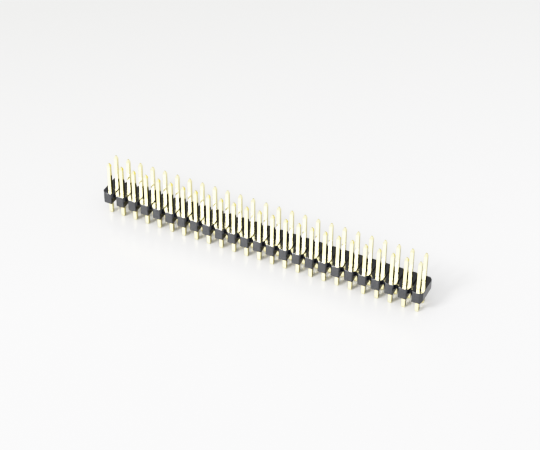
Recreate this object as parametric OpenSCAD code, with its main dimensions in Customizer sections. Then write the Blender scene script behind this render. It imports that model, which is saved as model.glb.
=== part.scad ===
// Double-row straight pin header strip, millimetres.
// X runs along the strip, Y across the two rows, Z up. The strip stands on the tips of its
// tails, and the origin is the middle of that footprint, on the surface it stands on.

/* [Grid] */
// Number of positions along the strip
positions = 25; // [2:1:29]
// Distance between neighbouring pins, along the strip and across it
pitch = 2.54; // [2:0.01:3.2]

/* [Insulator] */
// Depth of the moulding, front to back
body_depth = 5; // [4.2:0.05:6.5]
// Height of the moulding
body_height = 2.35; // [1.9:0.05:3.2]
// Width of the V notch in the front and back faces at each break line
notch_width = 1.14; // [0.6:0.02:1.3]
// Depth of that notch
notch_depth = 0.7; // [0.3:0.01:0.8]
// Width of the cross groove under each break line
groove_width = 0.92; // [0.4:0.01:1]
// Depth of the cross groove under each break line
groove_depth = 1.3; // [0.8:0.05:1.5]
// Width of the score line across the top at each break line
score_width = 0.24; // [0.1:0.01:0.4]
// Depth of that score line
score_depth = 0.2; // [0.05:0.01:0.3]
// How far each end of the strip stops short of its break line
end_trim = 0.12; // [0:0.01:0.3]
// Leg of the 45 degree bevel along the lower edge of each end
end_bevel = 0.34; // [0.1:0.01:0.5]

/* [Pins] */
// Side of the square pin wire
pin_side = 0.64; // [0.5:0.01:0.76]
// Length of the mating end above the moulding
mating_length = 6.1; // [4:0.1:12]
// Length of the solder tail below the moulding
tail_length = 2.8; // [2:0.1:5]
// Length of the taper at the mating end
point_length = 0.6; // [0.3:0.05:0.9]
// Side of the small blunt end that this taper leaves
point_side = 0.28; // [0.1:0.01:0.4]
// Length of the short taper at the tip of the tail
tail_point_length = 0.3; // [0.1:0.05:0.9]
// Side of the blunt end that this taper leaves
tail_point_side = 0.44; // [0.2:0.01:0.48]
// Clearance around a pin in its hole, 0 because the pins are pressed in
hole_clearance = 0; // [0:0.01:0.05]

/* [Hidden] */
body_bottom = tail_length;
body_top = body_bottom + body_height;
pin_top = body_top + mating_length;
row_y = pitch / 2;
// Distance from the middle of the strip to the face of each end
end_x = positions * pitch / 2 - end_trim;
// Extra length with which a cutting shape runs past the surface it cuts
past = 1;

// Two-digit number, so that the node names sort in their order along the strip
function two_digits(n) = str(n < 10 ? "0" : "", n);
function pin_name(row, n) = str(row, "_pin_", two_digits(n));
// Centre of position n along the strip, counted from 1 at the low X end
function place(n) = (n - (positions + 1) / 2) * pitch;
// Centre of the break line between positions n and n + 1
function break_line(n) = place(n) + pitch / 2;

// Plan of one position: a block as long as the pitch, with its four corners cut off
module position_plan() {
    long = pitch / 2;
    flat = long - notch_width / 2;
    deep = body_depth / 2;
    waist = deep - notch_depth;
    polygon([
        [-long, waist],
        [-flat, deep],
        [flat, deep],
        [long, waist],
        [long, -waist],
        [flat, -deep],
        [-flat, -deep],
        [-long, -waist]
    ]);
}

// The row of blocks, as one outline that is notched front and back at each break line
module strip_plan() {
    for (n = [1 : positions])
        translate([place(n), 0]) position_plan();
}

// Groove that leaves only a web of plastic under the break line
module cross_groove() {
    translate([-groove_width / 2, -body_depth / 2 - past, -past])
        cube([groove_width, body_depth + 2 * past, groove_depth + past]);
}

// Score line with sloping walls across the top of the web
module score_line() {
    spread = score_width / 2 * past / score_depth;
    rotate([90, 0, 0])
        linear_extrude(height = body_depth + 2 * past, center = true)
            polygon([
                [0, -score_depth],
                [score_width / 2 + spread, past],
                [-score_width / 2 - spread, past]
            ]);
}

// What is cut off at the high X end: the trim, and the bevel under it
module end_cut() {
    rotate([90, 0, 0])
        linear_extrude(height = body_depth + 2 * past, center = true)
            polygon([
                [end_x, body_height + past],
                [end_x, end_bevel],
                [end_x - end_bevel - past, -past],
                [end_x + end_trim + past, -past],
                [end_x + end_trim + past, body_height + past]
            ]);
}

// Square hole that a pin is pressed through
module pin_hole() {
    hole_side = pin_side + 2 * hole_clearance;
    translate([-hole_side / 2, -hole_side / 2, -past])
        cube([hole_side, hole_side, body_height + 2 * past]);
}

// One moulding from end to end
module housing() {
    color([0.05, 0.05, 0.055])
        translate([0, 0, body_bottom])
            difference() {
                linear_extrude(height = body_height) strip_plan();
                for (n = [1 : positions - 1]) {
                    translate([break_line(n), 0, 0]) cross_groove();
                    translate([break_line(n), 0, body_height]) score_line();
                }
                end_cut();
                mirror([1, 0, 0]) end_cut();
                for (n = [1 : positions], side = [-1, 1])
                    translate([place(n), side * row_y, 0]) pin_hole();
            }
}

// Side view of a pin, with its taper seen from one side
module pin_profile() {
    wide = pin_side / 2;
    upper = point_side / 2;
    lower = tail_point_side / 2;
    polygon([
        [-lower, 0],
        [lower, 0],
        [wide, tail_point_length],
        [wide, pin_top - point_length],
        [upper, pin_top],
        [-upper, pin_top],
        [-wide, pin_top - point_length],
        [-wide, tail_point_length]
    ]);
}

// The profile drawn out along Y, as seen from the front
module pin_blank() {
    rotate([90, 0, 0])
        linear_extrude(height = pin_side, center = true) pin_profile();
}

// One piece of square wire, tapered on all four sides at both ends
module pin(row_side, n) {
    color([0.87, 0.76, 0.45])
        translate([place(n), row_side * row_y, 0])
            intersection() {
                pin_blank();
                rotate([0, 0, 90]) pin_blank();
            }
}

module front_pin(n) {
    pin(-1, n);
}

module back_pin(n) {
    pin(1, n);
}

housing();
for (n = [1 : positions]) {
    front_pin(n);
    back_pin(n);
}
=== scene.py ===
"""Looks of a two-row straight pin header strip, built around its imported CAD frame.

The strip is one black moulding, notched at every break line, with square gold-plated pins
pressed through it. It stands on its tails on a satin white table, between white walls and
under a softbox. All lengths are metres, in the frame's own axes: X along the strip, Y across
the rows, Z up.
"""

import logging
import math
from dataclasses import dataclass
from enum import Enum

import bmesh
import bpy
from mathutils import Matrix, Vector


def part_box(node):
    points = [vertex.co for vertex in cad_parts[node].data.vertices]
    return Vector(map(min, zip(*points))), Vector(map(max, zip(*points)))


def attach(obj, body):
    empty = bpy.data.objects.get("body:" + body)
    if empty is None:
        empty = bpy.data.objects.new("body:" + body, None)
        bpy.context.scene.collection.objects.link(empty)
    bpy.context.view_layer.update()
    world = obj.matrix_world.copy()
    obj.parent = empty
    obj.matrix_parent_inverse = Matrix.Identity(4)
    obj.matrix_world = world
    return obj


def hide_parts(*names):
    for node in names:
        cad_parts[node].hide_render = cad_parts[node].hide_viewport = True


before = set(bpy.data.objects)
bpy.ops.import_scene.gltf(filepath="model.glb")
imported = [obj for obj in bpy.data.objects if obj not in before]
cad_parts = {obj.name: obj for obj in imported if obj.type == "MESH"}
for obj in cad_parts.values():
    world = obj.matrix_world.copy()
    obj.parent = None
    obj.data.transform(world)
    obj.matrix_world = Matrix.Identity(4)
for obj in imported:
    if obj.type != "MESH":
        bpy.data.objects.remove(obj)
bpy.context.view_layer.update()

MM = 0.001
LOG = logging.getLogger("pin_header")
Colour = tuple[float, float, float]
# Range in which a noise pattern spends nearly all its time
PATTERN_LOW = 0.3
PATTERN_HIGH = 0.7
# Distance from a cutting plane within which a point counts as on it
ON_PLANE = 1e-9
# Distance within which two points, or a face and a break line, count as one
TOGETHER = 1e-7
# Distance between the middle of a face and that of a hole within which they belong together
CENTRED = 1e-6
# Size of a normal's Z above which a face counts as level
LEVEL = 0.9


class Row(Enum):
    """The two rows of pins, by the prefix of their node names."""

    FRONT = "front_pin_"
    BACK = "back_pin_"


class Side(Enum):
    """The two ends of a block along the strip, as the sign of X."""

    LEFT = -1
    RIGHT = 1


# ---------------------------------------------------------------------------
# Materials
# ---------------------------------------------------------------------------


class Recipe:
    """A node material around one Principled shader, with short calls to add to it."""

    def __init__(
        self, name: str, coordinates_scale: tuple[float, float, float] = (1.0, 1.0, 1.0)
    ) -> None:
        """Start the material.

        Args:
            name: Name of the material.
            coordinates_scale: Scale applied to the object coordinates of its patterns.
        """
        self.material = bpy.data.materials.new(name)
        self.material.use_nodes = True
        self.tree = self.material.node_tree
        self.shader = self.tree.nodes["Principled BSDF"]
        place = self.tree.nodes.new("ShaderNodeTexCoord")
        self.mapping = self.tree.nodes.new("ShaderNodeMapping")
        self.mapping.inputs["Scale"].default_value = coordinates_scale
        self.link(place.outputs["Object"], self.mapping.inputs["Vector"])

    def link(self, source: bpy.types.NodeSocket, target: bpy.types.NodeSocket) -> None:
        """Join two sockets."""
        self.tree.links.new(source, target)

    def set(self, **values: object) -> None:
        """Set sockets of the shader, named with underscores for spaces."""
        for name, value in values.items():
            self.shader.inputs[name.replace("_", " ")].default_value = value

    def noise(self, scale: float, detail: float, roughness: float = 0.5) -> bpy.types.NodeSocket:
        """Add a noise pattern.

        Args:
            scale: Features per metre of mapped coordinates.
            detail: Number of finer layers.
            roughness: Strength of the finer layers.

        Returns:
            The pattern's value socket.
        """
        node = self.tree.nodes.new("ShaderNodeTexNoise")
        node.inputs["Scale"].default_value = scale
        node.inputs["Detail"].default_value = detail
        node.inputs["Roughness"].default_value = roughness
        self.link(self.mapping.outputs["Vector"], node.inputs["Vector"])
        return node.outputs["Fac"]

    def along_y(self, start: float, end: float) -> bpy.types.NodeSocket:
        """Add a ramp that climbs through the patterns' range between two places in Y.

        Args:
            start: Y where it starts.
            end: Y where it ends.

        Returns:
            The ramp's value socket.
        """
        parts = self.tree.nodes.new("ShaderNodeSeparateXYZ")
        self.link(self.mapping.outputs["Vector"], parts.inputs["Vector"])
        return self.remap(parts.outputs["Y"], (start, end), (PATTERN_LOW, PATTERN_HIGH))

    def remap(
        self,
        source: bpy.types.NodeSocket,
        given: tuple[float, float],
        wanted: tuple[float, float],
    ) -> bpy.types.NodeSocket:
        """Map one range of values onto another.

        Args:
            source: The value to map.
            given: Two values that it takes.
            wanted: What these two become.

        Returns:
            The mapped value socket.
        """
        node = self.tree.nodes.new("ShaderNodeMapRange")
        ends = ("From Min", "From Max", "To Min", "To Max")
        for name, value in zip(ends, (*given, *wanted)):
            node.inputs[name].default_value = value
        self.link(source, node.inputs["Value"])
        return node.outputs["Result"]

    def tint(self, source: bpy.types.NodeSocket, low: Colour, high: Colour) -> None:
        """Colour the shader by a pattern, from one colour to another.

        Args:
            source: The pattern.
            low: Colour where the pattern is low.
            high: Colour where it is high.
        """
        node = self.tree.nodes.new("ShaderNodeValToRGB")
        start, end = node.color_ramp.elements
        start.position = PATTERN_LOW
        start.color = (*low, 1.0)
        end.position = PATTERN_HIGH
        end.color = (*high, 1.0)
        self.link(source, node.inputs["Fac"])
        self.link(node.outputs["Color"], self.shader.inputs["Base Color"])

    def roughen(self, source: bpy.types.NodeSocket, low: float, high: float) -> None:
        """Vary the shader's roughness with a pattern, from low to high."""
        varied = self.remap(source, (PATTERN_LOW, PATTERN_HIGH), (low, high))
        self.link(varied, self.shader.inputs["Roughness"])

    def bump(self, source: bpy.types.NodeSocket, depth: float) -> None:
        """Raise a pattern in relief.

        Args:
            source: Height pattern from 0 to 1.
            depth: Height of the relief in metres.
        """
        node = self.tree.nodes.new("ShaderNodeBump")
        node.inputs["Distance"].default_value = depth
        self.link(source, node.inputs["Height"])
        self.link(node.outputs["Normal"], self.shader.inputs["Normal"])


@dataclass(frozen=True)
class GoldPlating:
    """Bright pale gold over drawn square wire, with faint draw lines along it."""

    slot: str = "gold_plating"
    thin: Colour = (0.92, 0.825, 0.45)
    thick: Colour = (0.95, 0.875, 0.51)
    at_a_slant: Colour = (0.45, 0.49, 0.68)
    cloud_scale: float = 900.0
    cloud_detail: float = 2.0
    line_stretch: float = 0.03
    line_scale: float = 14000.0
    line_detail: float = 4.0
    line_depth: float = 0.0015 * MM
    roughness: tuple[float, float] = (0.06, 0.12)

    def build(self) -> bpy.types.Material:
        """Make the material.

        Returns:
            The material.
        """
        recipe = Recipe("gold plating", (1.0, 1.0, self.line_stretch))
        recipe.set(Metallic=1.0, Specular_Tint=(*self.at_a_slant, 1.0))
        recipe.tint(recipe.noise(self.cloud_scale, self.cloud_detail), self.thin, self.thick)
        lines = recipe.noise(self.line_scale, self.line_detail)
        recipe.roughen(lines, *self.roughness)
        recipe.bump(lines, self.line_depth)
        return recipe.material


@dataclass(frozen=True)
class BlackMoulding:
    """Glass-filled black plastic with a semi-gloss moulded skin."""

    slot: str = "black_moulding"
    dark: Colour = (0.011, 0.012, 0.016)
    light: Colour = (0.016, 0.018, 0.024)
    mottle_scale: float = 700.0
    mottle_detail: float = 3.0
    grain_scale: float = 9000.0
    grain_detail: float = 5.0
    grain_harshness: float = 0.6
    grain_depth: float = 0.004 * MM
    roughness: tuple[float, float] = (0.14, 0.22)
    gloss_index: float = 1.82

    def build(self) -> bpy.types.Material:
        """Make the material.

        Returns:
            The material.
        """
        recipe = Recipe("black moulding")
        recipe.set(IOR=self.gloss_index)
        recipe.tint(recipe.noise(self.mottle_scale, self.mottle_detail), self.dark, self.light)
        grain = recipe.noise(self.grain_scale, self.grain_detail, self.grain_harshness)
        recipe.roughen(grain, *self.roughness)
        recipe.bump(grain, self.grain_depth)
        return recipe.material


@dataclass(frozen=True)
class WhiteTable:
    """Satin white acrylic sheet, with painted shade: its colour greys towards the far left,
    where less light falls.
    """

    near: Colour = (0.87, 0.87, 0.875)
    # Painted shade: the sheet's own white, darkened where less light reaches it
    far: Colour = (0.675, 0.675, 0.66)
    fade_turn: float = -40.0
    fade_start: float = -0.005
    fade_end: float = 0.09
    roughness: float = 0.28
    gloss_index: float = 1.49

    def build(self) -> bpy.types.Material:
        """Make the material.

        Returns:
            The material.
        """
        recipe = Recipe("white table")
        recipe.set(Roughness=self.roughness, IOR=self.gloss_index)
        recipe.mapping.inputs["Rotation"].default_value = (0, 0, math.radians(self.fade_turn))
        # Painted shade: the colour fades from near to far along Y, turned by fade_turn, in place
        # of the light falling off
        recipe.tint(recipe.along_y(self.fade_start, self.fade_end), self.near, self.far)
        return recipe.material


# ---------------------------------------------------------------------------
# Mesh helpers
# ---------------------------------------------------------------------------


def to_object(
    name: str, mesh_edit: bmesh.types.BMesh, material: bpy.types.Material
) -> bpy.types.Object:
    """Turn a finished bmesh into an object at the origin.

    Args:
        name: Name of the piece.
        mesh_edit: The bmesh, which is freed.
        material: Finish of every face.

    Returns:
        The linked object.
    """
    bmesh.ops.recalc_face_normals(mesh_edit, faces=mesh_edit.faces)
    if mesh_edit.calc_volume(signed=True) < 0:
        bmesh.ops.reverse_faces(mesh_edit, faces=mesh_edit.faces)
    mesh = bpy.data.meshes.new(name)
    mesh_edit.to_mesh(mesh)
    mesh_edit.free()
    mesh.materials.append(material)
    piece = bpy.data.objects.new(name, mesh)
    bpy.context.scene.collection.objects.link(piece)
    return piece


def add_bar(mesh_edit: bmesh.types.BMesh, size: Vector, centre: Vector) -> None:
    """Start a solid with a square-edged bar.

    Args:
        mesh_edit: The bmesh, still empty.
        size: Length of the bar each way.
        centre: Its middle.
    """
    bmesh.ops.create_cube(mesh_edit, size=1.0)
    bmesh.ops.scale(mesh_edit, vec=size, verts=mesh_edit.verts)
    bmesh.ops.translate(mesh_edit, vec=centre, verts=mesh_edit.verts)


def sharp_edges(mesh_edit: bmesh.types.BMesh, angle: float) -> list[bmesh.types.BMEdge]:
    """Edges whose two faces turn by more than the angle, in radians."""
    return [e for e in mesh_edit.edges if e.is_manifold and e.calc_face_angle() > angle]


def round_edges(
    mesh_edit: bmesh.types.BMesh, edges: list[bmesh.types.BMEdge], offset: float, steps: int
) -> None:
    """Round some edges of a solid.

    Args:
        mesh_edit: The solid.
        edges: The edges.
        offset: How far the rounding reaches on each face.
        steps: Number of flats that it is made of.
    """
    bmesh.ops.bevel(
        mesh_edit,
        geom=edges,
        offset=offset,
        offset_type="OFFSET",
        segments=steps,
        profile=0.5,
        affect="EDGES",
        material=-1,
    )


def score(
    mesh_edit: bmesh.types.BMesh, point: Vector, normal: Vector, clear: bool = False
) -> list[bmesh.types.BMEdge]:
    """Draw the line where a plane meets the solid.

    Args:
        mesh_edit: The solid.
        point: A point on the plane.
        normal: The plane's normal.
        clear: Whether what lies beyond the plane, on the normal's side, is taken away.

    Returns:
        The edges of the line.
    """
    everything = [*mesh_edit.verts, *mesh_edit.edges, *mesh_edit.faces]
    cut = bmesh.ops.bisect_plane(
        mesh_edit,
        geom=everything,
        dist=ON_PLANE,
        plane_co=point,
        plane_no=normal,
        clear_outer=clear,
    )
    return [e for e in cut["geom_cut"] if isinstance(e, bmesh.types.BMEdge)]


def slice_off(mesh_edit: bmesh.types.BMesh, point: Vector, normal: Vector) -> None:
    """Cut away what lies beyond a plane, on the normal's side, and close the cut."""
    rim = score(mesh_edit, point, normal, clear=True)
    bmesh.ops.contextual_create(mesh_edit, geom=rim)


def lies_across(face: bmesh.types.BMFace, centre: Vector) -> bool:
    """Tell whether a level face lies right over or under a place.

    Args:
        face: The face.
        centre: The place, whose height doesn't matter.

    Returns:
        True if it does.
    """
    middle = face.calc_center_median()
    near = abs(middle.x - centre.x) < CENTRED and abs(middle.y - centre.y) < CENTRED
    return near and abs(face.normal.z) > LEVEL


def middle_x(node: str) -> float:
    """X of the middle of a CAD node."""
    low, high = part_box(node)
    return (low.x + high.x) / 2


# ---------------------------------------------------------------------------
# Pieces
# ---------------------------------------------------------------------------


@dataclass(frozen=True)
class Point:
    """The taper at one end of a pin, and the side of the blunt end that it leaves."""

    length: float
    side: float


@dataclass
class Pin:
    """One straight pin of square wire, pointed on top and cut nearly square at the tail."""

    node: str
    mating_point: Point = Point(0.6 * MM, 0.28 * MM)
    tail_point: Point = Point(0.3 * MM, 0.44 * MM)
    edge_round: float = 0.035 * MM
    tip_round: float = 0.05 * MM
    tip_angle: float = math.radians(60)
    round_steps: int = 3

    def build(self, material: bpy.types.Material) -> bpy.types.Object:
        """Build the pin in the place of its CAD node.

        Args:
            material: Its plating.

        Returns:
            The piece.
        """
        low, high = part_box(self.node)
        low.z += self.tail_point.length
        high.z -= self.mating_point.length
        middle = (low + high) / 2
        wire = bmesh.new()
        add_bar(wire, high - low, middle)
        self.draw_point(wire, self.mating_point, 1, middle)
        self.draw_point(wire, self.tail_point, -1, middle)
        self.round_off(wire)
        return to_object(self.node + "_plated", wire, material)

    def draw_point(
        self, wire: bmesh.types.BMesh, point: Point, way: int, middle: Vector
    ) -> None:
        """Extrude one end to its blunt point.

        Args:
            wire: The pin so far.
            point: The taper of that end.
            way: 1 for the upper end, -1 for the lower one.
            middle: Centre of the pin.
        """
        end = max(wire.faces, key=lambda f: way * f.calc_center_median().z)
        tip = bmesh.ops.extrude_discrete_faces(wire, faces=[end])["faces"][0]
        bmesh.ops.translate(wire, vec=(0, 0, way * point.length), verts=tip.verts)
        side = (tip.verts[0].co - tip.verts[1].co).length
        share = point.side / side
        to_axis = Matrix.Translation((-middle.x, -middle.y, 0))
        bmesh.ops.scale(wire, vec=(share, share, 1), space=to_axis, verts=tip.verts)

    def round_off(self, wire: bmesh.types.BMesh) -> None:
        """Round the long edges of the wire, then the rims of its blunt ends.

        Args:
            wire: The pin with both its points.
        """
        rise = self.tail_point.length / 2
        long_edges = [e for e in wire.edges if abs((e.verts[0].co - e.verts[1].co).z) > rise]
        round_edges(wire, long_edges, self.edge_round, self.round_steps)
        round_edges(wire, sharp_edges(wire, self.tip_angle), self.tip_round, self.round_steps)


@dataclass
class Block:
    """One position of the moulding: a web on top and a post under it, around two pin holes."""

    centre_x: float
    pitch: float
    low: Vector
    high: Vector
    holes: list[tuple[Vector, Vector]]
    joined: tuple[Side, ...]
    notch_width: float
    notch_depth: float
    groove_width: float
    groove_depth: float
    score_width: float
    score_depth: float
    end_bevel: float

    def build(self, solid: bmesh.types.BMesh) -> None:
        """Add this block to the moulding.

        Args:
            solid: The moulding so far.
        """
        block = bmesh.new()
        self.web(block)
        self.post(block)
        self.trim_end(block)
        self.bore(block)
        self.open_joins(block)
        copy = bpy.data.meshes.new("block")
        block.to_mesh(copy)
        block.free()
        solid.from_mesh(copy)
        bpy.data.meshes.remove(copy)

    def side_x(self, side: Side, inward: float = 0.0) -> float:
        """X of the break line on that side, or of a place so far inward from it."""
        return self.centre_x + side.value * self.pitch / 2 - side.value * inward

    def web(self, block: bmesh.types.BMesh) -> None:
        """Make the full-width upper part, with its notched corners and score lines.

        Args:
            block: The block, still empty.
        """
        floor = self.low.z + self.groove_depth
        size = Vector((self.pitch, self.high.y - self.low.y, self.high.z - floor))
        middle_y = (self.low.y + self.high.y) / 2
        add_bar(block, size, Vector((self.centre_x, middle_y, (floor + self.high.z) / 2)))
        for side in Side:
            corner_x = self.side_x(side, self.notch_width / 2)
            for face_y, way in ((self.low.y, -1), (self.high.y, 1)):
                across = Vector((side.value * self.notch_depth, way * self.notch_width / 2, 0))
                slice_off(block, Vector((corner_x, face_y, 0)), across)
        for side in self.joined:
            lip = Vector((self.side_x(side, self.score_width / 2), 0, self.high.z))
            slope = Vector((side.value * self.score_depth, 0, self.score_width / 2))
            slice_off(block, lip, slope)

    def post(self, block: bmesh.types.BMesh) -> None:
        """Extrude the post down from the middle of the web's underside.

        Args:
            block: The block so far.
        """
        for side in self.joined:
            wall_x = self.side_x(side, self.groove_width / 2)
            score(block, Vector((wall_x, 0, 0)), Vector((1, 0, 0)))
        underside = [f for f in block.faces if f.normal.z < -LEVEL]
        middle = min(underside, key=lambda f: abs(f.calc_center_median().x - self.centre_x))
        foot = bmesh.ops.extrude_discrete_faces(block, faces=[middle])["faces"][0]
        bmesh.ops.translate(block, vec=(0, 0, -self.groove_depth), verts=foot.verts)

    def trim_end(self, block: bmesh.types.BMesh) -> None:
        """Cut a free end back to the strip's own end, and bevel its lower edge.

        Args:
            block: The block so far.
        """
        for side in Side:
            if side in self.joined:
                continue
            end_x = self.high.x if side is Side.RIGHT else self.low.x
            slice_off(block, Vector((end_x, 0, 0)), Vector((side.value, 0, 0)))
            heel = Vector((end_x - side.value * self.end_bevel, 0, self.low.z))
            slice_off(block, heel, Vector((side.value, 0, -1)))

    def bore(self, block: bmesh.types.BMesh) -> None:
        """Cut the square pin holes from top to bottom.

        Args:
            block: The block so far.
        """
        for hole in self.holes:
            for corner in hole:
                score(block, corner, Vector((1, 0, 0)))
                score(block, corner, Vector((0, 1, 0)))
        for low, high in self.holes:
            centre = (low + high) / 2
            ends = [f for f in block.faces if lies_across(f, centre)]
            rims = [e for f in ends for e in f.edges]
            bmesh.ops.delete(block, geom=ends, context="FACES_ONLY")
            bmesh.ops.bridge_loops(block, edges=rims)

    def open_joins(self, block: bmesh.types.BMesh) -> None:
        """Take away the faces where the block runs on into its neighbour.

        Args:
            block: The block so far.
        """
        inner = [
            f
            for f in block.faces
            for side in self.joined
            if abs(f.calc_center_median().x - self.side_x(side)) < TOGETHER
        ]
        bmesh.ops.delete(block, geom=inner, context="FACES_ONLY")


@dataclass
class Housing:
    """The black moulding that holds every pin, one solid from end to end."""

    pins: list[str]
    positions: int
    node: str = "housing"
    notch_width: float = 1.14 * MM
    notch_depth: float = 0.7 * MM
    groove_width: float = 0.92 * MM
    groove_depth: float = 1.3 * MM
    score_width: float = 0.24 * MM
    score_depth: float = 0.2 * MM
    end_bevel: float = 0.34 * MM
    edge_round: float = 0.05 * MM
    inner_share: float = 0.8
    round_steps: int = 3
    sharp_angle: float = math.radians(30)
    flat_angle: float = math.radians(1)

    def build(self, material: bpy.types.Material) -> bpy.types.Object:
        """Build the moulding in the place of its CAD node.

        Args:
            material: Its plastic.

        Returns:
            The piece.
        """
        low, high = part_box(self.node)
        first = middle_x(self.pins[0])
        last = middle_x(self.pins[-1])
        pitch = (last - first) / (self.positions - 1)
        solid = bmesh.new()
        for place in range(self.positions):
            self.block(place, first + place * pitch, pitch, low, high).build(solid)
        bmesh.ops.remove_doubles(solid, verts=solid.verts, dist=TOGETHER)
        bmesh.ops.dissolve_limit(
            solid,
            angle_limit=self.flat_angle,
            verts=solid.verts,
            edges=solid.edges,
            delimit=set(),
        )
        self.weigh_edges(solid, (low + high) / 2, high)
        piece = to_object("housing_moulded", solid, material)
        self.round_off(piece)
        return piece

    def block(
        self, place: int, centre_x: float, pitch: float, low: Vector, high: Vector
    ) -> Block:
        """Describe the block at one position.

        Args:
            place: Position along the strip, from 0.
            centre_x: X of its centre.
            pitch: Length of the block.
            low: Lowest corner of the moulding.
            high: Highest corner of the moulding.

        Returns:
            The block.
        """
        joined = []
        if place > 0:
            joined.append(Side.LEFT)
        if place < self.positions - 1:
            joined.append(Side.RIGHT)
        own_pins = [n for n in self.pins if abs(middle_x(n) - centre_x) < pitch / 2]
        return Block(
            centre_x=centre_x,
            pitch=pitch,
            low=low,
            high=high,
            holes=[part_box(n) for n in own_pins],
            joined=tuple(joined),
            notch_width=self.notch_width,
            notch_depth=self.notch_depth,
            groove_width=self.groove_width,
            groove_depth=self.groove_depth,
            score_width=self.score_width,
            score_depth=self.score_depth,
            end_bevel=self.end_bevel,
        )

    def weigh_edges(self, solid: bmesh.types.BMesh, middle: Vector, high: Vector) -> None:
        """Give the outer edges their full rounding and the inner ones a share of it.

        Args:
            solid: The moulding.
            middle: Centre of the moulding.
            high: Highest corner of the moulding.
        """
        weight = solid.edges.layers.float.new("bevel_weight_edge")
        skin_x = high.x - self.end_bevel
        skin_y = high.y - self.notch_depth
        for edge in sharp_edges(solid, self.sharp_angle):
            walls = [f for f in edge.link_faces if abs(f.normal.z) < LEVEL]
            centres = [f.calc_center_median() - middle for f in walls]
            outer = any(abs(c.y) > skin_y or abs(c.x) > skin_x for c in centres)
            edge[weight] = 1.0 if outer and edge.is_convex else self.inner_share

    def round_off(self, piece: bpy.types.Object) -> None:
        """Round the edges by their weights, as the mould leaves them.

        Args:
            piece: The moulding.
        """
        rounding = piece.modifiers.new("rounding", "BEVEL")
        rounding.limit_method = "WEIGHT"
        rounding.width = self.edge_round
        rounding.segments = self.round_steps
        rounding.use_clamp_overlap = False


# ---------------------------------------------------------------------------
# Stage
# ---------------------------------------------------------------------------


def direction(azimuth: float, elevation: float) -> Vector:
    """Unit vector from the strip towards a viewer.

    Args:
        azimuth: Degrees from the front, positive towards +X.
        elevation: Degrees above the table.

    Returns:
        The direction.
    """
    across = math.radians(azimuth)
    up = math.radians(elevation)
    level = math.cos(up)
    return Vector((math.sin(across) * level, -math.cos(across) * level, math.sin(up)))


@dataclass(frozen=True)
class Softbox:
    """A rectangular white light that faces the strip, placed by its direction from it."""

    name: str
    azimuth: float
    elevation: float
    distance: float
    width: float
    height: float
    radiance: float

    def build(self) -> None:
        """Hang the light and aim it at the origin."""
        light = bpy.data.lights.new(self.name, "AREA")
        light.shape = "RECTANGLE"
        light.size = self.width
        light.size_y = self.height
        light.energy = self.radiance * math.pi * self.width * self.height
        lamp = bpy.data.objects.new(self.name, light)
        lamp.location = direction(self.azimuth, self.elevation) * self.distance
        lamp.rotation_euler = lamp.location.to_track_quat("Z", "Y").to_euler()
        lamp.visible_camera = False
        bpy.context.scene.collection.objects.link(lamp)


@dataclass(frozen=True)
class Camera:
    """The view from the front right, looking down on the strip."""

    azimuth: float = 25.65
    elevation: float = 39.8
    roll: float = 0.583
    distance: float = 0.3086
    aim: tuple[float, float, float] = (0.00023, 0.00246, 0.00534)
    lens: float = 114.94
    sensor: float = 36.0
    nearest: float = 0.01

    def build(self) -> None:
        """Place the camera and make it the scene's own."""
        data = bpy.data.cameras.new("camera")
        data.lens = self.lens
        data.sensor_width = self.sensor
        data.clip_start = self.nearest
        back = direction(self.azimuth, self.elevation)
        tilt = Matrix.Rotation(math.radians(self.roll), 4, "Z").to_quaternion()
        camera = bpy.data.objects.new("camera", data)
        camera.location = Vector(self.aim) + back * self.distance
        camera.rotation_euler = (back.to_track_quat("Z", "Y") @ tilt).to_euler()
        bpy.context.scene.collection.objects.link(camera)
        bpy.context.scene.camera = camera


@dataclass(frozen=True)
class Table:
    """The white table that the tails stand on."""

    half_side: float = 1.5

    def build(self, material: bpy.types.Material) -> None:
        """Lay the table at the height of the tail tips.

        Args:
            material: Its finish.
        """
        sheet = bmesh.new()
        bmesh.ops.create_grid(sheet, x_segments=1, y_segments=1, size=self.half_side)
        table = to_object("table", sheet, material)
        table.data.shade_flat()


@dataclass(frozen=True)
class FilmResponse:
    """How light becomes tone: deep shadows, and highlights that ease into white."""

    contrast: float = 1.6
    speed: float = 1.35
    brightest: float = 3.0
    steps: int = 12
    # Which of the mapping's curves acts on all three colours
    common_curve: int = 3

    def tone(self, light: float) -> float:
        """Tone from 0 to 1 for an amount of light."""
        return 1.0 - math.exp(-self.speed * light**self.contrast)

    def apply(self, settings: bpy.types.ColorManagedViewSettings) -> None:
        """Set the scene's tone curve, with its points closest together in the shadows.

        Args:
            settings: The scene's view settings.
        """
        settings.view_transform = "Standard"
        settings.use_curve_mapping = True
        mapping = settings.curve_mapping
        mapping.white_level = (self.brightest,) * 3
        curve = mapping.curves[self.common_curve]
        curve.points[-1].location = (1.0, self.tone(self.brightest))
        for step in range(1, self.steps):
            share = (step / self.steps) ** 2
            curve.points.new(share, self.tone(share * self.brightest))
        mapping.update()


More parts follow.
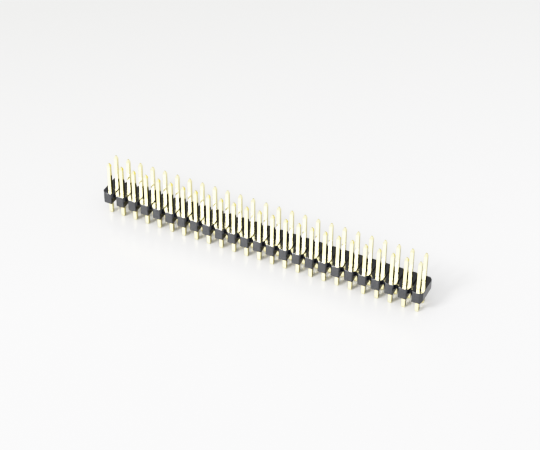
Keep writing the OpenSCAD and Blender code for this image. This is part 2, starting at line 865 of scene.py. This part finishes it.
@dataclass(frozen=True)
class Studio:
    """Lights and surroundings: white walls, dimmer behind the strip than in front of it."""

    surroundings: Colour = (1.0, 1.0, 1.0)
    front_strength: float = 2.25
    back_strength: float = 0.75
    key: Softbox = Softbox(
        "key",
        azimuth=-26.0,
        elevation=40.0,
        distance=2.0,
        width=0.52,
        height=0.28,
        radiance=65.0,
    )

    def build(self) -> None:
        """Make the world, set the tone curve and hang the light."""
        world = bpy.data.worlds.new("studio")
        world.use_nodes = True
        sky = world.node_tree.nodes["Background"]
        sky.inputs["Color"].default_value = (*self.surroundings, 1.0)
        self.dim_behind(world.node_tree, sky)
        bpy.context.scene.world = world
        FilmResponse().apply(bpy.context.scene.view_settings)
        self.key.build()

    def dim_behind(self, tree: bpy.types.NodeTree, sky: bpy.types.Node) -> None:
        """Let the surroundings fade from front to back.

        Args:
            tree: The world's nodes.
            sky: Its background node.
        """
        towards = tree.nodes.new("ShaderNodeTexCoord")
        parts = tree.nodes.new("ShaderNodeSeparateXYZ")
        fade = tree.nodes.new("ShaderNodeMapRange")
        fade.inputs["From Min"].default_value = -1.0
        fade.inputs["To Min"].default_value = self.front_strength
        fade.inputs["To Max"].default_value = self.back_strength
        tree.links.new(towards.outputs["Generated"], parts.inputs["Vector"])
        tree.links.new(parts.outputs["Y"], fade.inputs["Value"])
        tree.links.new(fade.outputs["Result"], sky.inputs["Strength"])


# ---------------------------------------------------------------------------
# Assembly
# ---------------------------------------------------------------------------


def adopt(piece: bpy.types.Object, node: str) -> None:
    """Let a piece stand for a CAD node on the strip's one body.

    Args:
        piece: The new piece.
        node: The CAD node that it replaces.
    """
    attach(piece, "root")
    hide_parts(node)
    LOG.info("%s: %d faces", piece.name, len(piece.data.polygons))


def main() -> None:
    """Build the strip, its table, the lights and the camera."""
    logging.basicConfig(level=logging.INFO, format="%(message)s")
    gold = GoldPlating()
    gold_material = gold.build()
    plastic = BlackMoulding()
    pin_nodes = sorted(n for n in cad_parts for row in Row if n.startswith(row.value))
    housing = Housing(pins=pin_nodes, positions=len(pin_nodes) // len(Row))
    adopt(housing.build(plastic.build()), housing.node)
    for node in pin_nodes:
        adopt(Pin(node).build(gold_material), node)
    Table().build(WhiteTable().build())
    Studio().build()
    Camera().build()


if __name__ == "__main__":
    main()
